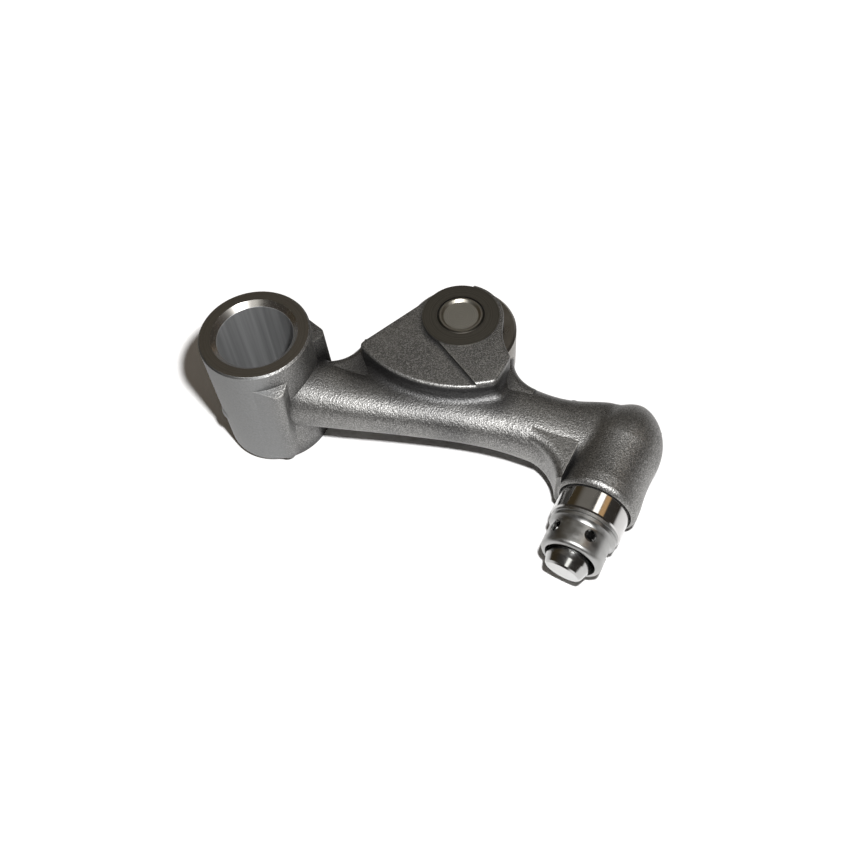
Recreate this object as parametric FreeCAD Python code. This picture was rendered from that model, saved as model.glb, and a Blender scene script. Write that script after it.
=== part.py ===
import FreeCAD, Part

import math
import os

from FreeCAD import Vector

# Roller rocker arm with its hydraulic valve tappet, in millimetres.
# The shaft bore runs along Z with its centre at the origin, and the plane z = 0 is the
# forging's middle plane: it holds the roller's middle and the tappet's axis.
# The tappet lies at +X of the bore and points along -Y, towards the valve.

# Shaft boss
shaft_bore_d = 13.5
shaft_boss_d = 19.7
shaft_boss_length = 26.0
shaft_bore_chamfer = 0.95
shaft_boss_edge = 0.3

# Corner ribs on the shaft boss, one each side of the beam: for the low end and the high end
# of each, its height, the crest's angle and how far the crest stands out
front_rib_ends = ((-11.7, -47.0, 1.3), (9.2, -40.0, 1.9))
back_rib_ends = ((-11.0, 47.0, 2.5), (10.3, 39.0, 1.9))
rib_end_slope = 0.6
rib_outer_span = 23.0
rib_inner_span = 17.0
rib_crest_span = 5.0
rib_crest_sag = 0.35
rib_root = 1.0

# Small raised spot on the side of the shaft boss
boss_spot_r = 2.6
boss_spot_rise = 0.35
boss_spot_angle = -121.0
boss_spot_z = -3.6

# Roller, its pin and the needles between them
roller_x = 29.0
roller_y = 22.1
roller_d = 20.1
roller_width = 9.6
roller_edge = 0.45
roller_crown = 0.02
roller_flat = 4.8
roller_side_play = 0.2
roller_slot_play = 0.9
pin_d = 8.6
pin_press = 0.005
pin_stake_depth = 0.35
pin_disc_d = 6.3
pin_bead_rise = 0.1
pin_bead_half = 0.15
pin_stake_slope = 0.25
needle_d = 2.0
needle_count = 16
needle_play = 0.04
needle_end_play = 0.15
needle_edge = 0.2

# Cheeks that carry the pin; corners are given from the pin's centre
cheek_half = 7.5
cheek_step = 0.85
cheek_ring_d = 13.9
cheek_ring_rise = 0.2
cheek_nose_r = 7.7
cheek_nose_end = 20.0
cheek_edge = 0.5
cheek_corner_r = 1.2
cheek_left = (-14.1, -12.9)
cheek_floor = (-2.0, -15.8)
cheek_right_low = (11.9, -10.5)
cheek_right_high = (11.9, -4.5)
cheek_hollow = (-0.5, -0.6)
cheek_step_line = ((17.0, -18.1), (9.4, -12.6), (-0.8, -7.0), (0.0, 0.0), (-1.2, 8.9), (17.0, 8.9))
cheek_foot_fillet = 1.8
cheek_foot_low = (-15.0, -17.1, 0.3)
cheek_foot_high = (13.0, -3.9, 5.0)

# Beam between the two bosses: share of the way to the tappet's axis, front edge, back edge
# and half height
beam_stations = (
    (0.03, -7.6, 7.4, 6.4),
    (0.12, -6.4, 7.0, 5.9),
    (0.20, -4.7, 7.3, 5.1),
    (0.30, -2.7, 8.6, 4.6),
    (0.39, -0.8, 10.6, 4.4),
    (0.48, 1.0, 13.2, 4.4),
    (0.56, 2.5, 15.6, 4.4),
    (0.635, 3.7, 17.1, 4.5),
    (0.70, 4.5, 17.4, 4.7),
    (0.77, 4.9, 17.3, 4.9),
    (0.84, 4.9, 18.2, 4.9),
    (0.90, 4.8, 19.9, 4.9),
    (0.965, 4.7, 20.7, 4.8),
)
beam_squareness = 2.3
beam_section_points = 12

# Webs in the beam's corners: an arc through three points, then the corners inside the metal.
# The first is given from the shaft's axis, the second from the pin, the third from the tappet.
back_web = ((10.4, 6.6), (12.3, 8.3), (13.2, 13.4), (18.6, 17.0), (19.0, 4.0), (10.4, 4.0))
roller_web = ((10.8, -0.2), (12.4, -3.3), (17.5, -5.7), (17.5, -10.0), (8.0, -10.0), (8.0, -0.2))
tappet_web = ((-14.6, 6.0), (-10.0, 4.4), (-7.3, 1.2), (-6.4, 1.2), (-6.4, 10.0), (-14.6, 10.0))
back_web_half = 4.2
roller_web_half = 4.3
tappet_web_half = 4.5
web_edge = 1.8

# Raised disc on the beam's back, given from the tappet's axis
beam_disc_d = 2.4
beam_disc_offset = -10.6
beam_disc_y = 18.45

# Tappet boss and its blind bore
tappet_x = 63.95
tappet_d = 12.0
tappet_running_play = 0.03
tappet_boss_mouth_y = 0.7
tappet_boss_end_y = 21.5
tappet_bore_floor_y = 15.6
tappet_boss_wall = 0.95
tappet_boss_waist = 0.35
tappet_boss_lip = 0.65
tappet_boss_lip_height = 1.2
tappet_boss_lip_bulge = (0.7, 0.3)
tappet_boss_land = 1.6
tappet_boss_shoulder_drop = 3.2
tappet_boss_dome_r = 5.15
tappet_boss_dome_drop = 3.2
tappet_boss_crown_d = 4.4
tappet_bore_chamfer = 0.3
tappet_boss_fillet = 3.0
tappet_neck_low = (-14.0, -1.0, -1.0)
tappet_neck_high = (-2.0, 20.0, 7.0)

# Oil feed from the shaft bore to the tappet bore
oil_feed_d = 2.2
oil_feed_lift = 0.95
oil_plug_d = 3.0
oil_plug_length = 2.0
oil_plug_offset = 3.4
oil_plug_edge = 0.4

# Moving cup of the tappet
cup_shoulder_y = -3.5
cup_rim_y = 12.0
cup_bore_d = 9.2
cup_floor_y = -2.2
cup_spigot_d = 9.6
cup_spigot_end_y = -5.6
cup_edge = 0.25
ball_nose_d = 5.6
ball_nose_y = -7.0
ball_neck_d = 4.0
tappet_travel = 3.0

# Foot cage, pressed from sheet over the cup's spigot
cage_sheet = 0.4
cage_lip_d = 11.6
cage_lip_height = 0.5
cage_collar_height = 0.55
cage_groove = 0.2
cage_flare = 0.7
cage_flare_bulge = 0.3
cage_end_y = -9.85
cage_corner_r = 0.75
cage_mouth_d = 8.6
cage_hole_d = 2.1
cage_hole_y = -6.85
cage_hole_count = 5
cage_hole_angle = 68.0
cage_seat_play = 0.02

# Swivel foot
foot_neck_d = 7.4
foot_neck_length = 3.4
foot_face_d = 6.4
foot_face_distance = 5.05
foot_flange_d = 9.1
foot_flange_thick = 1.1
foot_socket_play = 0.05
foot_edge = 0.3
foot_droop = 10.3
foot_droop_heading = 22.8

# Fixed plunger with its one-way ball valve
plunger_play = 0.03
plunger_low_y = 5.0
plunger_neck_d = 7.8
plunger_shoulder_y = 10.6
plunger_wall = 1.0
plunger_seat_thick = 1.3
plunger_seat_d = 1.8
plunger_top_hole_d = 2.4
plunger_cross_hole_d = 1.6
bore_seat_play = 0.05
check_ball_d = 2.6
check_ball_lift = 0.3
valve_cap_sheet = 0.3
valve_cap_d = 5.4
valve_cap_depth = 3.4
valve_cap_flange_d = 7.0
valve_cap_hole_d = 1.0
check_spring_wire = 0.2
check_spring_d = 1.6
check_spring_turns = 3
plunger_spring_wire = 0.7
plunger_spring_turns = 4
ring_wire = 0.7
ring_gap_angle = 30.0
ring_play = 0.05
ball_seat_play = 0.02
spring_play = 0.02
spring_steps = 16
spring_sides = 8
short_edge = 0.5
flat_tolerance = 1e-6

# Worked out from the sizes above
slot_half = roller_width / 2 + roller_side_play
slot_r = roller_d / 2 + roller_slot_play
pin_half = cheek_half + cheek_step + cheek_ring_rise
race_r = pin_d / 2 + needle_d + 2 * needle_play
needle_orbit_r = pin_d / 2 + needle_play + needle_d / 2
tappet_bore_r = tappet_d / 2 + tappet_running_play
seat_drop = math.sqrt((check_ball_d / 2) ** 2 - (plunger_seat_d / 2) ** 2)
check_ball_y = plunger_low_y - seat_drop
valve_cap_low_y = plunger_low_y - valve_cap_depth

ORIGIN = Vector(0, 0, 0)
ALONG_X = Vector(1, 0, 0)
ALONG_Y = Vector(0, 1, 0)
ALONG_Z = Vector(0, 0, 1)
PIN_CENTRE = Vector(roller_x, roller_y, 0)


def save(name, shape):
    """Write one piece and print what it holds."""
    solid = shape.Solids[0]
    solid.exportStep("parts/" + name + ".step")
    print(name, len(shape.Solids), round(shape.Volume, 2), shape.isValid())


def closed_wire(points):
    return Part.makePolygon(points + [points[0]])


def turned_y(profile, x=0.0):
    """A solid of revolution about the line through x along Y, from (radius, y) points."""
    face = Part.Face(closed_wire([Vector(x + r, y, 0) for r, y in profile]))
    return face.revolve(Vector(x, 0, 0), ALONG_Y, 360)


def turned_z(profile, centre=PIN_CENTRE):
    """A solid of revolution about the line through centre along Z, from (radius, z) points."""
    face = Part.Face(closed_wire([centre + Vector(r, 0, z) for r, z in profile]))
    return face.revolve(centre, ALONG_Z, 360)


def bar_z(radius, half, centre=ORIGIN):
    return Part.makeCylinder(radius, 2 * half, centre - ALONG_Z * half)


def line(start, end):
    return Part.LineSegment(start, end).toShape()


def arc(start, middle, end):
    return Part.Arc(start, middle, end).toShape()


def prism(outline, half):
    """The outline, drawn in the middle plane, thickened by half to each side."""
    outline.translate(ALONG_Z * -half)
    return Part.Face(outline).extrude(ALONG_Z * (2 * half))


def rims_at(shape, half):
    """The edges that lie wholly at one of the two ends along Z."""
    return [e for e in shape.Edges if abs(abs(e.CenterOfMass.z) - half) < flat_tolerance]


def on_circle(radius, degrees, z=0.0):
    a = math.radians(degrees)
    return Vector(radius * math.cos(a), radius * math.sin(a), z)


def coil_y(low, high, mid_radius, wire_d, turns):
    """A coil spring on the tappet's axis, with its wire between low and high along Y."""
    steps = turns * spring_steps
    rise = (high - low - wire_d) / steps
    sections = []
    for i in range(steps + 1):
        a = 2 * math.pi * i / spring_steps
        outward = Vector(math.cos(a), 0, math.sin(a))
        middle = Vector(tappet_x, low + wire_d / 2 + i * rise, 0) + outward * mid_radius
        corners = []
        for k in range(spring_sides):
            b = 2 * math.pi * k / spring_sides
            across = outward * (wire_d / 2 * math.cos(b))
            along = ALONG_Y * (wire_d / 2 * math.sin(b))
            corners.append(middle + across + along)
        sections.append(closed_wire(corners))
    return Part.makeLoft(sections, True, True)


def beam_section(share, front, back, half):
    """One closed, rounded section of the beam across X."""
    x = share * tappet_x
    middle = (front + back) / 2
    reach = (back - front) / 2
    power = 2 / beam_squareness
    points = []
    for i in range(beam_section_points):
        a = 2 * math.pi * i / beam_section_points
        c, s = math.cos(a), math.sin(a)
        y = middle + reach * math.copysign(abs(c) ** power, c)
        z = half * math.copysign(abs(s) ** power, s)
        points.append(Vector(x, y, z))
    curve = Part.BSplineCurve()
    curve.interpolate(points, PeriodicFlag=True)
    return Part.Wire([curve.toShape()])


def beam():
    return Part.makeLoft([beam_section(*s) for s in beam_stations], True, False)


def shaft_boss():
    r = shaft_boss_d / 2
    boss = bar_z(r, shaft_boss_length / 2)
    rims = [e for e in boss.Edges if len(e.Vertexes) == 1 and e.Curve.TypeId == "Part::GeomCircle"]
    return boss.makeChamfer(shaft_boss_edge, rims)


def rib(ends):
    """A corner rib along the shaft boss, with a rounded crest that leans and sloped ends."""
    r = shaft_boss_d / 2
    wires = []
    for z, angle, reach in ends:
        side = math.copysign(1, angle)
        crest = r + reach
        root = on_circle(r - rib_root, angle, z)
        outer = on_circle(r, angle + side * rib_outer_span, z)
        outer_top = on_circle(crest - rib_crest_sag, angle + side * rib_crest_span, z)
        inner_top = on_circle(crest - rib_crest_sag, angle - side * rib_crest_span, z)
        inner = on_circle(r - rib_root / 2, angle - side * rib_inner_span, z)
        wires.append(Part.Wire([
            line(root, outer),
            line(outer, outer_top),
            arc(outer_top, on_circle(crest, angle, z), inner_top),
            line(inner_top, inner),
            line(inner, root),
        ]))
    low, high = ends[0][0], ends[1][0]
    low_crest, high_crest = r + ends[0][2], r + ends[1][2]
    sloped = turned_z([(0, low), (r, low), (low_crest, low + rib_end_slope),
                       (high_crest, high - rib_end_slope), (r, high), (0, high)], ORIGIN)
    return Part.makeLoft(wires, True, True).common(sloped)


def boss_spot():
    r = shaft_boss_d / 2 + boss_spot_rise - boss_spot_r
    return Part.makeSphere(boss_spot_r, on_circle(r, boss_spot_angle, boss_spot_z))


def from_pin(point):
    return PIN_CENTRE + Vector(point[0], point[1], 0)


def from_tappet(point):
    return Vector(tappet_x + point[0], point[1], 0)


def cheek_outline():
    """The cheek's outline: a nose round the pin, a straight back and a long round floor."""
    left = from_pin(cheek_left)
    to_pin = PIN_CENTRE - left
    rise = math.degrees(math.atan2(to_pin.y, to_pin.x) + math.asin(cheek_nose_r / to_pin.Length))
    tangent = PIN_CENTRE + on_circle(cheek_nose_r, rise + 90)
    crown = PIN_CENTRE + on_circle(cheek_nose_r, 90)
    nose_end = PIN_CENTRE + on_circle(cheek_nose_r, cheek_nose_end)
    right_high = from_pin(cheek_right_high)
    right_low = from_pin(cheek_right_low)
    hollow = (nose_end + right_high) * 0.5 + Vector(cheek_hollow[0], cheek_hollow[1], 0)
    return Part.Wire([
        line(left, tangent),
        arc(tangent, crown, nose_end),
        arc(nose_end, hollow, right_high),
        line(right_high, right_low),
        arc(right_low, from_pin(cheek_floor), left),
    ])


def cheek_block(half):
    block = prism(cheek_outline(), half)
    upright = [e for e in block.Edges if len(e.Vertexes) == 2
               and abs(e.Vertexes[0].Z - e.Vertexes[1].Z) > half]
    crown = [e for e in upright if e.Vertexes[0].X < roller_x and e.Vertexes[0].Y > roller_y]
    corners = [e for e in upright if not any(e.isSame(c) for c in crown)]
    block = block.makeFillet(cheek_corner_r, corners)
    return block.makeFillet(cheek_edge, rims_at(block, half))


def cheeks():
    low = cheek_block(cheek_half)
    high = cheek_block(cheek_half + cheek_step)
    step = [from_pin(corner) for corner in cheek_step_line]
    high = high.common(prism(closed_wire(step), cheek_half + 2 * cheek_step))
    ring = bar_z(cheek_ring_d / 2, pin_half, PIN_CENTRE)
    return low.fuse(high).fuse(ring)


def web(points, half, shown):
    """A web in a corner of the beam: an arc, then straight edges; the first ones are on show."""
    straight = [line(p, q) for p, q in zip(points[2:], points[3:] + points[:1])]
    edges = [arc(*points[:3])] + straight
    middles = [e.CenterOfMass for e in edges[:shown]]
    block = prism(Part.Wire(edges), half)

    def on_show(edge):
        c = edge.CenterOfMass
        return any(math.hypot(c.x - m.x, c.y - m.y) < flat_tolerance for m in middles)

    rims = [e for e in rims_at(block, half) if on_show(e)]
    return block.makeFillet(web_edge, rims)


def webs():
    return [
        web([Vector(x, y, 0) for x, y in back_web], back_web_half, 2),
        web([from_pin(p) for p in roller_web], roller_web_half, 1),
        web([from_tappet(p) for p in tappet_web], tappet_web_half, 1),
    ]


def beam_disc():
    centre = from_tappet((beam_disc_offset, beam_disc_y))
    return Part.makeCylinder(beam_disc_d / 2, beam_disc_d, centre, -ALONG_Y)


def tappet_boss():
    """The barrel round the tappet bore, with a rounded lip and a domed end."""
    lip_r = tappet_bore_r + tappet_boss_wall
    mouth_r = lip_r - tappet_boss_lip
    mouth = tappet_boss_mouth_y
    end = tappet_boss_end_y
    lip_y = mouth + tappet_boss_lip_height
    neck = lip_y + tappet_boss_land
    shoulder_y = tappet_bore_floor_y - tappet_boss_shoulder_drop
    waist = lip_r - tappet_boss_waist
    shoulder_r = lip_r - tappet_boss_waist / 2
    crown_r = tappet_boss_crown_d / 2
    bulge_r = mouth_r + tappet_boss_lip_bulge[0] * tappet_boss_lip
    bulge_y = mouth + tappet_boss_lip_bulge[1] * tappet_boss_lip_height

    def at(r, y):
        return from_tappet((-r, y))

    face = Part.Face(Part.Wire([
        line(at(0, mouth), at(mouth_r, mouth)),
        arc(at(mouth_r, mouth), at(bulge_r, bulge_y), at(lip_r, lip_y)),
        line(at(lip_r, lip_y), at(lip_r, neck)),
        arc(at(lip_r, neck), at(waist, (neck + shoulder_y) / 2), at(shoulder_r, shoulder_y)),
        arc(at(shoulder_r, shoulder_y), at(tappet_boss_dome_r, end - tappet_boss_dome_drop), at(crown_r, end)),
        line(at(crown_r, end), at(0, end)),
        line(at(0, end), at(0, mouth)),
    ]))
    return face.revolve(Vector(tappet_x, 0, 0), ALONG_Y, 360)


def tappet_bore():
    r = tappet_bore_r
    c = tappet_bore_chamfer
    mouth = tappet_boss_mouth_y
    return turned_y([(0, mouth - 1), (r + c + 1, mouth - 1), (r, mouth + c), (r, tappet_bore_floor_y),
                     (0, tappet_bore_floor_y)], tappet_x)


def oil_line():
    """The feed drilling's direction from the origin: it just breaks into the tappet bore's floor."""
    aim = Vector(tappet_x, tappet_bore_floor_y + oil_feed_lift, 0)
    return aim.normalize()


def oil_plug_start():
    """Distance along the drilling at which the plug's seat begins."""
    return math.hypot(tappet_x, tappet_bore_floor_y + oil_feed_lift) + oil_plug_offset


def oil_feed():
    direction = oil_line()
    start = oil_plug_start()
    drilling = Part.makeCylinder(oil_feed_d / 2, start + oil_plug_length, ORIGIN, direction)
    seat = Part.makeCylinder(oil_plug_d / 2, tappet_d, direction * start, direction)
    return drilling.fuse(seat)


def bore_chamfers():
    """The cones that open both ends of the shaft bore."""
    r = shaft_bore_d / 2
    c = shaft_bore_chamfer
    half = shaft_boss_length / 2
    top = Part.makeCone(r, r + 2 * c, 2 * c, Vector(0, 0, half - c))
    low = Part.makeCone(r + 2 * c, r, 2 * c, Vector(0, 0, -half - c))
    return [top, low]


def edges_between(shape, low, high, from_x, from_y):
    """The edges, short ones left out, whose middle lies in a box given in x, y and |z|."""
    found = []
    for edge in shape.Edges:
        m = edge.CenterOfMass
        place = (m.x - from_x, m.y - from_y, abs(m.z))
        inside = all(a < q < b for a, q, b in zip(low, place, high))
        if inside and edge.Length > short_edge:
            found.append(edge)
    return found


def forging():
    """The forging before machining, with its fillets."""
    body = beam().fuse(tappet_boss())
    neck = edges_between(body, tappet_neck_low, tappet_neck_high, tappet_x, 0)
    body = body.makeFillet(tappet_boss_fillet, neck)
    body = body.fuse(shaft_boss()).fuse(cheeks())
    foot = edges_between(body, cheek_foot_low, cheek_foot_high, roller_x, roller_y)
    body = body.makeFillet(cheek_foot_fillet, foot)
    for piece in webs() + [beam_disc(), boss_spot(), rib(front_rib_ends), rib(back_rib_ends)]:
        body = body.fuse(piece)
    return body


def rocker_arm():
    arm = forging()
    cuts = [
        bar_z(shaft_bore_d / 2, shaft_boss_length),
        bar_z(slot_r, slot_half, PIN_CENTRE),
        bar_z(pin_d / 2 + pin_press, pin_half + 1, PIN_CENTRE),
        tappet_bore(),
        oil_feed(),
    ] + bore_chamfers()
    for cut in cuts:
        arm = arm.cut(cut)
    return arm


def roller_pin():
    """The pin, riveted over at both ends: a rolled bead round a flat disc."""
    r = pin_d / 2
    disc = pin_disc_d / 2
    bead = (r + disc) / 2
    top = pin_half + pin_bead_rise
    low = top - pin_stake_depth
    half = [(r, low - pin_stake_depth), (r - pin_stake_slope * (r - disc), low), (bead + pin_bead_half, top),
            (bead - pin_bead_half, top), (disc, low), (0, low)]
    lower = [(radius, -z) for radius, z in reversed(half)]
    return turned_z(lower + half)


def roller():
    r = roller_d / 2
    half = roller_width / 2
    e = roller_edge
    crown = roller_crown
    flat = roller_flat / 2
    profile = [(race_r, -half + e), (race_r + e, -half), (r - crown - e, -half), (r - crown, -half + e), (r, -flat),
               (r, flat), (r - crown, half - e), (r - crown - e, half), (race_r + e, half), (race_r, half - e)]
    return turned_z(profile)


def needle(index):
    half = roller_width / 2 - needle_end_play
    turn = 360 * (index + 0.5) / needle_count
    centre = PIN_CENTRE + on_circle(needle_orbit_r, turn)
    bar = bar_z(needle_d / 2, half, centre)
    return bar.makeChamfer(needle_edge, rims_at(bar, half))


def oil_plug():
    direction = oil_line()
    start = oil_plug_start()
    plug = Part.makeCylinder(oil_plug_d / 2 - pin_press, oil_plug_length, direction * start, direction)
    middle = start + oil_plug_length / 2
    rims = [e for e in plug.Edges if e.Closed and e.CenterOfMass.dot(direction) > middle]
    return plug.makeChamfer(oil_plug_edge, rims)


def tappet_cup():
    """The moving cup: it slides in the arm, carries the cage on its spigot and ends in a ball."""
    r = tappet_d / 2
    bore = cup_bore_d / 2
    e = cup_edge
    groove_low = ring_y() - ring_wire / 2 - ring_play
    groove_high = ring_y() + ring_wire / 2 + ring_play
    groove_r = bore + ring_wire / 2
    spigot = cup_spigot_d / 2
    neck = ball_neck_d / 2
    ball = ball_nose_d / 2
    neck_y = ball_nose_y + math.sqrt(ball ** 2 - neck ** 2)

    def at(radius, y):
        return Vector(tappet_x + radius, y, 0)

    outline = [at(0, cup_floor_y), at(bore - e, cup_floor_y), at(bore, cup_floor_y + e), at(bore, groove_low),
               at(groove_r, groove_low), at(groove_r, groove_high), at(bore, groove_high), at(bore, cup_rim_y - e),
               at(bore + e, cup_rim_y), at(r - e, cup_rim_y), at(r, cup_rim_y - e), at(r, cup_shoulder_y + e),
               at(r - e, cup_shoulder_y), at(spigot, cup_shoulder_y), at(spigot, cup_spigot_end_y + e),
               at(spigot - e, cup_spigot_end_y), at(neck, cup_spigot_end_y), at(neck, neck_y)]
    tip = at(0, ball_nose_y - ball)
    diagonal = math.sqrt(ball ** 2 / 2)
    nose = arc(outline[-1], at(diagonal, ball_nose_y - diagonal), tip)
    straight = [line(a, b) for a, b in zip(outline, outline[1:])]
    face = Part.Face(Part.Wire(straight + [nose, line(tip, outline[0])]))
    return face.revolve(Vector(tappet_x, 0, 0), ALONG_Y, 360)


def foot_cage():
    """The sheet cage: a folded lip, a short flare, a straight wall, and a rounded end with its mouth."""
    t = cage_sheet
    inner = cup_spigot_d / 2 + pin_press
    wall = inner + t
    lip = cage_lip_d / 2
    top = cup_shoulder_y - cage_seat_play
    lip_low = top - cage_lip_height
    collar_low = lip_low - cage_groove - cage_collar_height
    flare_low = collar_low - cage_flare
    end = cage_end_y
    c = cage_corner_r
    mouth = cage_mouth_d / 2

    def at(radius, y):
        return Vector(tappet_x + radius, y, 0)

    def corner(a, b, centre, radius):
        middle = centre + ((a + b) * 0.5 - centre).normalize() * radius
        return arc(a, middle, b)

    g = cage_groove
    p = [at(inner, top), at(lip, top), at(lip, lip_low), at(lip - g, lip_low - g / 2), at(lip - g / 3, lip_low - g),
         at(lip - g / 3, collar_low), at(wall, flare_low), at(wall, end + c), at(wall - c, end), at(mouth, end),
         at(mouth, end + t), at(wall - c, end + t), at(wall - t, end + c), at(inner, flare_low)]
    edges = [line(p[i], p[i + 1]) for i in range(5)]
    edges.append(arc(p[5], at(wall + cage_flare_bulge * (lip - wall), (collar_low + flare_low) / 2), p[6]))
    edges.append(line(p[6], p[7]))
    edges.append(corner(p[7], p[8], at(wall - c, end + c), c))
    edges += [line(p[8], p[9]), line(p[9], p[10]), line(p[10], p[11])]
    edges.append(corner(p[11], p[12], at(wall - c, end + c), c - t))
    edges += [line(p[12], p[13]), line(p[13], p[0])]
    cage = Part.Face(Part.Wire(edges)).revolve(Vector(tappet_x, 0, 0), ALONG_Y, 360)
    for i in range(cage_hole_count):
        turn = math.radians(cage_hole_angle + 360 * i / cage_hole_count)
        outward = Vector(math.cos(turn), 0, math.sin(turn))
        centre = Vector(tappet_x, cage_hole_y, 0)
        cage = cage.cut(Part.makeCylinder(cage_hole_d / 2, tappet_d, centre, outward))
    return cage


def swivel_foot():
    """The foot: a flange held in the cage, a socket on the ball, and a flat face for the valve."""
    neck = foot_neck_d / 2
    r = foot_face_d / 2
    e = foot_edge
    flange = foot_flange_d / 2
    half = foot_flange_thick / 2
    face_y = -foot_face_distance
    rim = math.sqrt(flange ** 2 - half ** 2)

    def at(radius, y):
        return Vector(tappet_x + radius, ball_nose_y + y, 0)

    body = Part.Wire([
        line(at(0, half), at(rim, half)),
        arc(at(rim, half), at(flange, 0), at(rim, -half)),
        line(at(rim, -half), at(neck, -half)),
        line(at(neck, -half), at(neck, -foot_neck_length)),
        line(at(neck, -foot_neck_length), at(r, face_y + e)),
        line(at(r, face_y + e), at(r - e, face_y)),
        line(at(r - e, face_y), at(0, face_y)),
        line(at(0, face_y), at(0, half)),
    ])
    pivot = Vector(tappet_x, ball_nose_y, 0)
    foot = Part.Face(body).revolve(Vector(tappet_x, 0, 0), ALONG_Y, 360)
    socket = Part.makeSphere(ball_nose_d / 2 + foot_socket_play, pivot)
    foot = foot.cut(socket)
    heading = math.radians(foot_droop_heading)
    foot.rotate(pivot, Vector(math.cos(heading), 0, -math.sin(heading)), foot_droop)
    return foot


def ring_y():
    """Middle of the retaining ring, just above the plunger's shoulder."""
    return plunger_shoulder_y + ring_play + ring_wire / 2


def retaining_ring():
    """The wire ring in the cup's groove that keeps the plunger in."""
    mid = cup_bore_d / 2 - ring_play
    start = Vector(tappet_x + mid, ring_y(), 0)
    circle = Part.Face(Part.Wire([Part.Circle(start, ALONG_Z, ring_wire / 2).toShape()]))
    return circle.revolve(Vector(tappet_x, 0, 0), ALONG_Y, 360 - ring_gap_angle)


def plunger():
    """The hollow plunger: its neck stands on the bore's floor, its low end holds the valve's seat."""
    r = cup_bore_d / 2 - plunger_play
    neck = plunger_neck_d / 2
    low = plunger_low_y
    top = tappet_bore_floor_y - bore_seat_play
    inside = neck - plunger_wall
    seat = plunger_seat_d / 2
    hole = plunger_top_hole_d / 2
    e = cup_edge
    profile = [(seat, low), (r - e, low), (r, low + e), (r, plunger_shoulder_y), (neck, plunger_shoulder_y),
               (neck, top - e), (neck - e, top), (hole, top), (hole, top - plunger_wall),
               (inside, top - plunger_wall), (inside, low + plunger_seat_thick), (seat, low + plunger_seat_thick)]
    body = turned_y(profile, tappet_x)
    cross_y = (plunger_shoulder_y + tappet_bore_floor_y) / 2 + ring_wire
    across = Part.makeCylinder(plunger_cross_hole_d / 2, tappet_d,
                               Vector(tappet_x - tappet_d / 2, cross_y, 0), ALONG_X)
    return body.cut(across)


def check_ball():
    return Part.makeSphere(check_ball_d / 2, Vector(tappet_x, check_ball_y - ball_seat_play, 0))


def valve_cap():
    """The sheet cap that holds the ball and its spring against the plunger's low end."""
    t = valve_cap_sheet
    r = valve_cap_d / 2
    low = valve_cap_low_y
    top = plunger_low_y - pin_press
    hole = valve_cap_hole_d / 2
    profile = [(hole, low), (r - t, low), (r, low + t), (r, top - t), (valve_cap_flange_d / 2, top - t),
               (valve_cap_flange_d / 2, top), (r - t, top), (r - t, low + t), (hole, low + t)]
    return turned_y(profile, tappet_x)


def check_spring():
    low = valve_cap_low_y + valve_cap_sheet
    high = check_ball_y - ball_seat_play - math.sqrt((check_ball_d / 2) ** 2 - (check_spring_d / 2) ** 2)
    return coil_y(low + spring_play, high - spring_play, check_spring_d / 2, check_spring_wire,
                  check_spring_turns)


def plunger_spring():
    mid = (valve_cap_flange_d / 2 + cup_bore_d / 2 - plunger_play) / 2
    return coil_y(cup_floor_y + spring_play, plunger_low_y - spring_play, mid, plunger_spring_wire,
                  plunger_spring_turns)


os.makedirs("parts", exist_ok=True)
save("rocker_arm", rocker_arm())
save("roller_pin", roller_pin())
save("roller", roller())
for number in range(needle_count):
    save("needle_%02d" % (number + 1), needle(number))
save("oil_gallery_plug", oil_plug())
save("tappet_cup", tappet_cup())
save("foot_cage", foot_cage())
save("swivel_foot", swivel_foot())
save("retaining_ring", retaining_ring())
save("plunger", plunger())
save("check_ball", check_ball())
save("check_valve_cap", valve_cap())
save("check_spring", check_spring())
save("plunger_spring", plunger_spring())
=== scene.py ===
import math

import bpy
from mathutils import Matrix, Vector


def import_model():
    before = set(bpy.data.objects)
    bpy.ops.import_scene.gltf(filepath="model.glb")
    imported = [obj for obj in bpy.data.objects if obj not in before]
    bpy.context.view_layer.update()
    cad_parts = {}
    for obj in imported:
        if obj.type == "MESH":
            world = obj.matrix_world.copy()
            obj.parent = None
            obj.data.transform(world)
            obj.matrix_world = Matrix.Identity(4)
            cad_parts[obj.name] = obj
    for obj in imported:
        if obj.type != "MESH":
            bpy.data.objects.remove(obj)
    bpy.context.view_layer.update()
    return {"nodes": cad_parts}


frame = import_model()
nodes = frame["nodes"]

MM = 0.001

# Places on the part in millimetres, as the frame has them
BORE_R = 6.75
CHAMFER_R = 7.7
BOSS_R = 9.85
BOSS_HALF = 13.0
RIB_R = 12.6
PIN_X, PIN_Y = 29.0, 22.1
RING_R = 6.95
RING_Z = 8.5
SLOT_R = 10.95
SLOT_HALF = 5.0
PIN_DISC_R = 3.15
TAPPET_X = 63.95

# The surface it lies on touches the boss's lower rim and the tappet boss
REST_BOSS = Vector((9.55, 0, -13.0))
REST_TAPPET = Vector((TAPPET_X, 0, -7.0))
SHEET_HALF = 1.5

# The photograph's camera: its place in millimetres, its right and up directions, and its lens
CAMERA_PLACE = (80.40, -74.01, 138.03)
CAMERA_RIGHT = (0.8849, 0.4621, -0.0580)
CAMERA_UP = (-0.3581, 0.7548, 0.5496)
LENS = 39.69
SENSOR = 36.0
CLIP_START = 0.005

# The lamp beside the lens, as the shadows on the paper show: its place, its radius and the
# distance at which the paper is just white, in millimetres, and its power in watts
LAMP_PLACE = (81.0, -46.3, 140.3)
LAMP_RADIUS = 4.5
LAMP_REACH = 163.0
LAMP_POWER = 1.35

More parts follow.
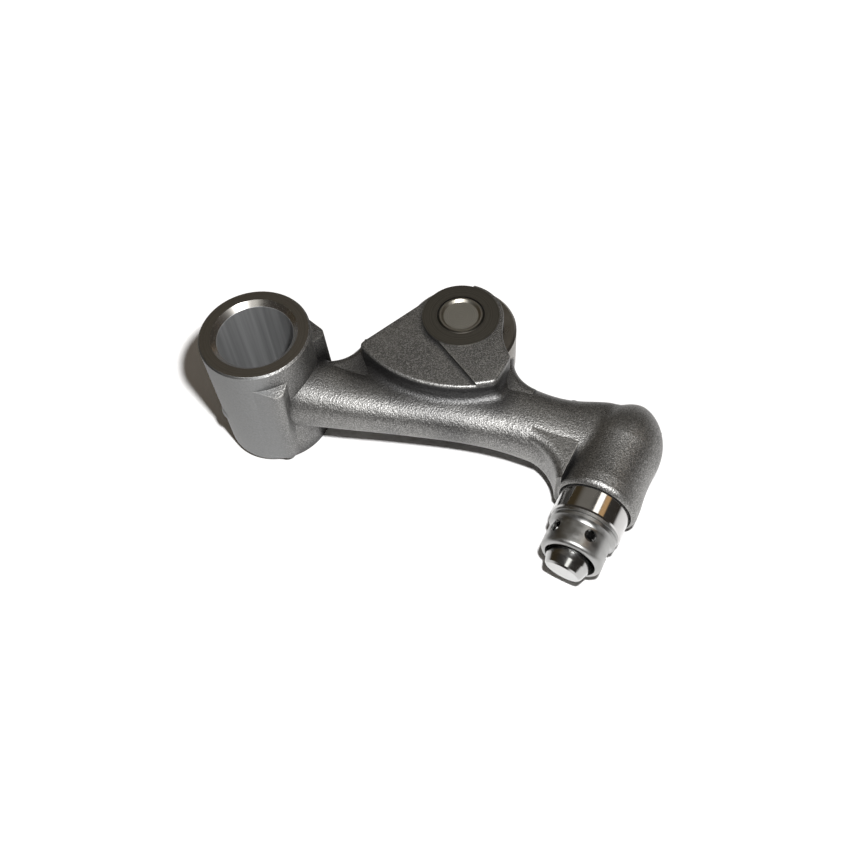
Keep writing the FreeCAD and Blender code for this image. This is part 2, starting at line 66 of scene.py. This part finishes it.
# Directions of what the steel mirrors: a window and a warm glow beside it, seen in the
# tappet's cup, the ceiling, seen in the flat faces, a wall and a card, seen in the foot
WINDOW_TOWARD = (0.24, 0.48, 0.84)
GLOW_TOWARD = (0.5, 0.48, 0.72)
CEILING_TOWARD = (-0.35, 0.5, 0.79)
WALL_TOWARD = (-0.9, 0.2, 0.35)
CARD_TOWARD = (0.17, -0.6, 0.78)


class Graph:
    """One material and short calls for the maths and textures in it. Lengths are in millimetres."""

    def __init__(self, name, metallic=1.0):
        self.material = bpy.data.materials.new(name)
        self.material.use_nodes = True
        self.tree = self.material.node_tree
        self.shader = self.tree.nodes["Principled BSDF"]
        self.shader.inputs["Metallic"].default_value = metallic
        coordinates = self.node("ShaderNodeTexCoord")
        scale = self.node("ShaderNodeVectorMath", operation="SCALE")
        self.link(coordinates.outputs["Object"], scale.inputs[0])
        scale.inputs["Scale"].default_value = 1 / MM
        self.place = scale.outputs[0]
        parts = self.node("ShaderNodeSeparateXYZ")
        self.link(self.place, parts.inputs[0])
        self.x, self.y, self.z = parts.outputs

    def node(self, kind, **values):
        node = self.tree.nodes.new(kind)
        for key, value in values.items():
            setattr(node, key, value)
        return node

    def link(self, source, target):
        """Feed a socket, a number or a colour into a socket."""
        if isinstance(source, (int, float)):
            target.default_value = source
        elif isinstance(source, tuple):
            target.default_value = source + (1.0,) * (len(target.default_value) - len(source))
        else:
            self.tree.links.new(source, target)

    def math(self, operation, *values):
        node = self.node("ShaderNodeMath", operation=operation)
        for value, socket in zip(values, node.inputs):
            self.link(value, socket)
        return node.outputs[0]

    def step(self, value, low, high, start=0.0, end=1.0):
        """start below low and end above high, with a smooth change between."""
        node = self.node("ShaderNodeMapRange", interpolation_type="SMOOTHSTEP")
        self.link(value, node.inputs["Value"])
        for name, number in (("From Min", low), ("From Max", high), ("To Min", start), ("To Max", end)):
            node.inputs[name].default_value = number
        return node.outputs["Result"]

    def mix(self, factor, a, b):
        """From colour a to colour b."""
        node = self.node("ShaderNodeMix", data_type="RGBA")
        for value, index in ((factor, 0), (a, 6), (b, 7)):
            self.link(value, node.inputs[index])
        return node.outputs[2]

    def blend(self, factor, a, b):
        """From number a to number b."""
        node = self.node("ShaderNodeMix", data_type="FLOAT")
        for value, index in ((factor, 0), (a, 2), (b, 3)):
            self.link(value, node.inputs[index])
        return node.outputs[0]

    def noise(self, size, detail=3.0, roughness=0.55, stretch=None):
        """Noise with features about size across, or longer along the axes where stretch is above one."""
        source = self.place
        if stretch:
            squeeze = self.node("ShaderNodeVectorMath", operation="DIVIDE")
            self.link(source, squeeze.inputs[0])
            squeeze.inputs[1].default_value = stretch
            source = squeeze.outputs[0]
        node = self.node("ShaderNodeTexNoise")
        self.link(source, node.inputs["Vector"])
        node.inputs["Scale"].default_value = 1 / size
        node.inputs["Detail"].default_value = detail
        node.inputs["Roughness"].default_value = roughness
        return node.outputs["Fac"]

    def lines(self, value, size, detail=2.0):
        """Fine lines where a value, such as a radius, repeats about each size."""
        node = self.node("ShaderNodeTexNoise", noise_dimensions="1D")
        self.link(value, node.inputs["W"])
        node.inputs["Scale"].default_value = 1 / size
        node.inputs["Detail"].default_value = detail
        return node.outputs["Fac"]

    def cells(self, size):
        """Distance from scattered points about each size apart."""
        node = self.node("ShaderNodeTexVoronoi", feature="F1")
        self.link(self.place, node.inputs["Vector"])
        node.inputs["Scale"].default_value = 1 / size
        return node.outputs["Distance"]

    def radius(self, x, y):
        """Distance from the line through (x, y) along Z."""
        dx = self.math("SUBTRACT", self.x, x)
        dy = self.math("SUBTRACT", self.y, y)
        squares = self.math("ADD", self.math("MULTIPLY", dx, dx), self.math("MULTIPLY", dy, dy))
        return self.math("SQRT", squares)

    def both(self, *masks):
        """All the masks multiplied together."""
        result = masks[0]
        for mask in masks[1:]:
            result = self.math("MULTIPLY", result, mask)
        return result

    def edges(self, reach):
        """One on sharp outer and inner edges, within reach."""
        bevel = self.node("ShaderNodeBevel", samples=4)
        bevel.inputs["Radius"].default_value = reach * MM
        face = self.node("ShaderNodeNewGeometry")
        dot = self.node("ShaderNodeVectorMath", operation="DOT_PRODUCT")
        self.link(bevel.outputs[0], dot.inputs[0])
        self.link(face.outputs["Normal"], dot.inputs[1])
        return self.step(dot.outputs["Value"], 0.80, 0.985, 1.0, 0.0)

    def hollows(self, reach):
        """One deep in corners and recesses, judged from the open space within reach."""
        space = self.node("ShaderNodeAmbientOcclusion", samples=8)
        space.inputs["Distance"].default_value = reach * MM
        return self.step(space.outputs["AO"], 0.45, 0.95, 1.0, 0.0)

    def bump(self, *layers):
        """Bumps laid over each other, each a height from 0 to 1 and its depth in millimetres."""
        normal = None
        for height, depth in layers:
            node = self.node("ShaderNodeBump")
            self.link(height, node.inputs["Height"])
            node.inputs["Distance"].default_value = depth * MM
            if normal:
                self.link(normal, node.inputs["Normal"])
            normal = node.outputs[0]
        self.link(normal, self.shader.inputs["Normal"])

    def finish(self, colour, roughness):
        self.link(colour, self.shader.inputs["Base Color"])
        self.link(roughness, self.shader.inputs["Roughness"])
        return self.material


def arm_finish():
    """Shot-blasted forging, with turned end faces, bore, rings and milled slot, and with painted shade in
    its recesses, on the cheek walls, under the cheeks and on the boss beside the beam.
    """
    g = Graph("arm_dark_steel")
    high = g.math("ABSOLUTE", g.z)
    aside = g.math("ABSOLUTE", g.y)
    from_shaft = g.radius(0, 0)
    from_pin = g.radius(PIN_X, PIN_Y)
    bore = g.step(from_shaft, BORE_R + 0.03, BORE_R + 0.06, 1, 0)
    chamfer = g.both(g.step(from_shaft, BORE_R + 0.03, BORE_R + 0.06),
                     g.step(from_shaft, CHAMFER_R - 0.02, CHAMFER_R, 1, 0))
    face = g.both(g.step(high, BOSS_HALF - 0.012, BOSS_HALF - 0.006),
                  g.step(from_shaft, CHAMFER_R - 0.02, CHAMFER_R))
    barrel = g.step(from_shaft, BOSS_R + 0.05, BOSS_R + 0.8, 1, 0)
    ribs = g.both(g.step(from_shaft, RIB_R, RIB_R + 0.8, 1, 0), g.step(aside, 6.2, 7.2))
    # The boss's barrel and ribs take a lighter, smoother finish; toward the beam it fades into the darker
    # forging, which is painted shade on the barrel's side next to the beam
    toward_beam = g.math("ADD", g.x, g.math("MULTIPLY", g.y, 0.5))
    boss = g.both(g.math("MAXIMUM", barrel, ribs), g.step(toward_beam, 1.5, 6.0, 1, 0))
    # Painted shade: this mask darkens the wall below the cheeks, between the beam's top and the pads
    wall = g.both(g.step(high, 3.9, 4.6), g.step(high, 7.0, 7.35, 1, 0), g.step(g.y, 3.5, 6),
                  g.step(g.x, 12, 15), g.step(g.x, 42, 46, 1, 0))
    ring = g.both(g.step(from_pin, RING_R, RING_R + 0.04, 1, 0), g.step(high, RING_Z - 0.12, RING_Z - 0.05))
    slot = g.both(g.step(from_pin, SLOT_R + 0.02, SLOT_R + 0.05, 1, 0),
                  g.step(high, SLOT_HALF + 0.01, SLOT_HALF + 0.04, 1, 0))

    grain = g.noise(0.2, 2.0, 0.7)
    pits = g.cells(0.34)
    patches = g.noise(6.0, 3.0)
    hollows = g.hollows(5.0)
    forged = g.mix(g.step(patches, 0.35, 0.65), (0.15, 0.148, 0.145), (0.21, 0.207, 0.2))
    forged = g.mix(g.step(grain, 0.42, 0.68), forged, (0.44, 0.435, 0.425))
    forged = g.mix(g.step(pits, 0.1, 0.45, 0.55, 0), forged, (0.05, 0.05, 0.052))
    # Painted shade under the cheeks: the forging's colour is darkened there
    painted_shade_under_cheek = g.both(g.step(high, 6.8, 7.3, 1, 0), g.step(g.y, 0.5, 3.5), g.step(g.x, 12, 18),
                         g.step(g.x, 36, 44, 1, 0))
    forged = g.mix(g.math("MULTIPLY", painted_shade_under_cheek, 0.45), forged, (0.05, 0.05, 0.052))
    worn = g.edges(0.3)
    forged = g.mix(g.both(worn, g.step(grain, 0.2, 0.5)), forged, (0.6, 0.59, 0.56))
    # Painted shade: the forging is darkened in corners and recesses, judged from the open space around each
    # point, and on the wall below the cheeks
    shade = g.math("MAXIMUM", g.math("MULTIPLY", hollows, 0.75), g.math("MULTIPLY", wall, 0.7))
    forged = g.mix(shade, forged, (0.05, 0.05, 0.052))
    side = g.mix(g.noise(0.35, 3.0), (0.2, 0.203, 0.205), (0.33, 0.333, 0.333))
    side = g.mix(g.both(worn, g.step(grain, 0.3, 0.6)), side, (0.6, 0.6, 0.59))
    rings = g.lines(from_shaft, 0.16)
    turned = g.mix(rings, (0.15, 0.137, 0.12), (0.27, 0.25, 0.22))
    pin_rings = g.lines(from_pin, 0.2)
    ring_colour = g.mix(pin_rings, (0.1, 0.095, 0.085), (0.22, 0.21, 0.185))
    streaks = g.noise(0.7, 2.0, 0.5, (1, 1, 60))
    bored = g.mix(streaks, (0.16, 0.163, 0.166), (0.44, 0.444, 0.45))

    colour = g.mix(boss, forged, side)
    colour = g.mix(face, colour, turned)
    colour = g.mix(chamfer, colour, (0.5, 0.48, 0.45))
    colour = g.mix(bore, colour, bored)
    colour = g.mix(ring, colour, ring_colour)
    colour = g.mix(slot, colour, (0.09, 0.088, 0.085))

    rough = g.blend(boss, 0.46, 0.45)
    for mask, value in ((face, 0.36), (chamfer, 0.25), (bore, 0.5), (ring, 0.34), (slot, 0.5)):
        rough = g.blend(mask, rough, value)
    g.link(g.blend(bore, 1.0, 0.55), g.shader.inputs["Metallic"])

    smooth = g.math("MINIMUM", 1.0, g.math("ADD", g.math("ADD", face, chamfer), g.math("ADD", bore, ring)))
    blasted = g.math("SUBTRACT", 1.0, smooth)
    depth = g.both(blasted, g.blend(boss, 1.0, 0.3), g.step(hollows, 0.2, 0.9, 1, 0.4))
    g.bump((g.both(g.noise(1.8, 2.0), depth), 0.02), (g.both(grain, depth), 0.045),
           (g.both(pits, depth), 0.035), (g.both(rings, face), 0.012), (g.both(pin_rings, ring), 0.02))
    return g.finish(colour, rough)


def pin_finish():
    """Turned and riveted pin end, with fine rings round its middle."""
    g = Graph("pin_steel")
    from_pin = g.radius(PIN_X, PIN_Y)
    rings = g.lines(from_pin, 0.17)
    disc = g.step(from_pin, PIN_DISC_R - 0.1, PIN_DISC_R + 0.05, 1, 0)
    edge = g.mix(rings, (0.24, 0.225, 0.195), (0.42, 0.4, 0.35))
    flat = g.mix(rings, (0.34, 0.33, 0.3), (0.46, 0.45, 0.41))
    colour = g.mix(disc, edge, flat)
    g.bump((rings, 0.014), (g.noise(0.5), 0.02))
    return g.finish(colour, g.blend(disc, 0.34, 0.42))


def ground_finish(name, dark, light, roughness, x=PIN_X, y=PIN_Y):
    """Ground steel with fine lines round its axis."""
    g = Graph(name)
    rings = g.lines(g.radius(x, y), 0.12)
    along = g.lines(g.z, 0.1)
    marks = g.math("MULTIPLY", g.math("ADD", rings, along), 0.5)
    stain = g.noise(3.0)
    colour = g.mix(g.math("MULTIPLY", g.math("ADD", marks, stain), 0.5), dark, light)
    g.bump((along, 0.004), (g.noise(0.8), 0.006))
    return g.finish(colour, g.step(stain, 0.3, 0.7, roughness * 0.85, roughness * 1.2))


def tappet_finish(name, dark, light, roughness, depth):
    """Steel turned about the tappet's axis, with lines round it."""
    g = Graph(name)
    around = g.lines(g.y, 0.12, 3.0)
    smudge = g.noise(1.6, 3.0, 0.6, (1, 0.5, 1))
    colour = g.mix(g.math("MULTIPLY", g.math("ADD", around, smudge), 0.5), dark, light)
    g.bump((around, depth), (g.noise(0.6, 2.0), depth))
    return g.finish(colour, g.step(smudge, 0.35, 0.7, roughness, roughness * 1.5))


def wire_finish():
    """Drawn spring wire."""
    g = Graph("spring_steel")
    colour = g.mix(g.noise(0.6), (0.16, 0.16, 0.17), (0.3, 0.3, 0.31))
    g.bump((g.noise(0.2), 0.01))
    return g.finish(colour, g.step(g.noise(0.9), 0.3, 0.7, 0.25, 0.45))


def dress(material, *names):
    """Give CAD nodes their finish."""
    for name in names:
        mesh = nodes[name].data
        mesh.materials.clear()
        mesh.materials.append(material)


def dress_all():
    dress(arm_finish(), "rocker_arm")
    dress(pin_finish(), "roller_pin")
    dress(ground_finish("roller_steel", (0.13, 0.115, 0.1), (0.34, 0.32, 0.29), 0.28), "roller")
    needles = [n for n in nodes if n.startswith("needle_")]
    dress(ground_finish("needle_steel", (0.4, 0.4, 0.4), (0.6, 0.6, 0.6), 0.2), *needles)
    dress(ground_finish("plug_steel", (0.16, 0.155, 0.15), (0.3, 0.29, 0.28), 0.4), "oil_gallery_plug")
    cup = tappet_finish("tappet_polished", (0.42, 0.42, 0.42), (0.57, 0.56, 0.55), 0.09, 0.0012)
    dress(cup, "tappet_cup")
    cage = tappet_finish("cage_sheet", (0.26, 0.26, 0.258), (0.4, 0.4, 0.392), 0.3, 0.006)
    dress(cage, "foot_cage")
    foot = tappet_finish("foot_polished", (0.32, 0.32, 0.315), (0.44, 0.44, 0.435), 0.14, 0.002)
    dress(foot, "swivel_foot")
    inner = tappet_finish("inner_steel", (0.35, 0.35, 0.35), (0.52, 0.52, 0.51), 0.22, 0.003)
    dress(inner, "plunger", "check_valve_cap", "check_ball")
    dress(wire_finish(), "plunger_spring", "check_spring", "retaining_ring")


def floor():
    """The white sheet that the part lies on, tilted as the part leans in its own frame."""
    slope = (REST_TAPPET.z - REST_BOSS.z) / (REST_TAPPET.x - REST_BOSS.x)
    corners = []
    for sx, sy in ((-1, -1), (1, -1), (1, 1), (-1, 1)):
        x = sx * SHEET_HALF
        corners.append((x, sy * SHEET_HALF, REST_BOSS.z * MM + (x - REST_BOSS.x * MM) * slope))
    mesh = bpy.data.meshes.new("floor")
    mesh.from_pydata(corners, [], [(0, 1, 2, 3)])
    sheet = bpy.data.objects.new("floor", mesh)
    bpy.context.scene.collection.objects.link(sheet)
    g = Graph("paper", 0.0)
    colour = g.mix(g.noise(40.0, 2.0), (0.93, 0.927, 0.925), (0.96, 0.958, 0.957))
    g.bump((g.noise(0.6, 2.0), 0.01))
    away = g.node("ShaderNodeVectorMath", operation="DISTANCE")
    g.link(g.place, away.inputs[0])
    away.inputs[1].default_value = LAMP_PLACE
    fall = g.math("POWER", g.math("DIVIDE", away.outputs["Value"], LAMP_REACH), 3.0)
    seen = g.node("ShaderNodeLightPath").outputs["Is Camera Ray"]
    gain = g.blend(seen, 1.0, g.math("MAXIMUM", 1.0, fall))
    brighter = g.node("ShaderNodeVectorMath", operation="SCALE")
    g.link(colour, brighter.inputs[0])
    g.link(gain, brighter.inputs["Scale"])
    mesh.materials.append(g.finish(brighter.outputs[0], 0.8))


def world():
    """A dim, warm room, with the bright things in it that the steel mirrors."""
    room = bpy.data.worlds.new("room")
    room.use_nodes = True
    tree = room.node_tree
    background = tree.nodes["Background"]
    place = tree.nodes.new("ShaderNodeTexCoord").outputs["Generated"]

    def patch(toward, inner, outer, inside, outside):
        """The colour inside within some degrees of a direction, and the colour outside beyond."""
        dot = tree.nodes.new("ShaderNodeVectorMath")
        dot.operation = "DOT_PRODUCT"
        tree.links.new(place, dot.inputs[0])
        dot.inputs[1].default_value = Vector(toward).normalized()
        edge = tree.nodes.new("ShaderNodeMapRange")
        edge.interpolation_type = "SMOOTHSTEP"
        tree.links.new(dot.outputs["Value"], edge.inputs["Value"])
        edge.inputs["From Min"].default_value = math.cos(math.radians(outer))
        edge.inputs["From Max"].default_value = math.cos(math.radians(inner))
        mix = tree.nodes.new("ShaderNodeMix")
        mix.data_type = "RGBA"
        tree.links.new(edge.outputs["Result"], mix.inputs[0])
        for value, index in ((outside, 6), (inside, 7)):
            if isinstance(value, tuple):
                mix.inputs[index].default_value = value + (1.0,)
            else:
                tree.links.new(value, mix.inputs[index])
        return mix.outputs[2]

    dim = patch((0, 0, 1), 20, 100, (0.06, 0.055, 0.05), (0.05, 0.042, 0.034))
    wall = patch(WALL_TOWARD, 15, 50, (0.07, 0.052, 0.028), dim)
    ceiling = patch(CEILING_TOWARD, 8, 32, (0.23, 0.215, 0.19), wall)
    card = patch(CARD_TOWARD, 7, 11, (2.4, 2.4, 2.3), ceiling)
    warm = patch(GLOW_TOWARD, 5, 9, (0.8, 0.5, 0.24), card)
    bright = patch(WINDOW_TOWARD, 6, 9, (2.6, 2.5, 2.3), warm)
    mirrored = tree.nodes.new("ShaderNodeMix")
    mirrored.data_type = "RGBA"
    tree.links.new(tree.nodes.new("ShaderNodeLightPath").outputs["Is Glossy Ray"], mirrored.inputs[0])
    tree.links.new(wall, mirrored.inputs[6])
    tree.links.new(bright, mirrored.inputs[7])
    tree.links.new(mirrored.outputs[2], background.inputs["Color"])
    bpy.context.scene.world = room


def lights():
    """The small lamp beside the lens throws the photograph's shadows."""
    data = bpy.data.lights.new("flash", "POINT")
    data.energy = LAMP_POWER
    data.shadow_soft_size = LAMP_RADIUS * MM
    light = bpy.data.objects.new("flash", data)
    light.location = Vector(LAMP_PLACE) * MM
    bpy.context.scene.collection.objects.link(light)


def camera():
    right = Vector(CAMERA_RIGHT).normalized()
    up = Vector(CAMERA_UP).normalized()
    back = right.cross(up).normalized()
    data = bpy.data.cameras.new("camera")
    data.lens = LENS
    data.sensor_width = SENSOR
    data.clip_start = CLIP_START
    eye = bpy.data.objects.new("camera", data)
    turn = Matrix((right, up, back)).transposed().to_4x4()
    eye.matrix_world = Matrix.Translation(Vector(CAMERA_PLACE) * MM) @ turn
    bpy.context.scene.collection.objects.link(eye)
    bpy.context.scene.camera = eye


dress_all()
floor()
world()
lights()
camera()
bpy.context.scene.view_settings.view_transform = "Standard"
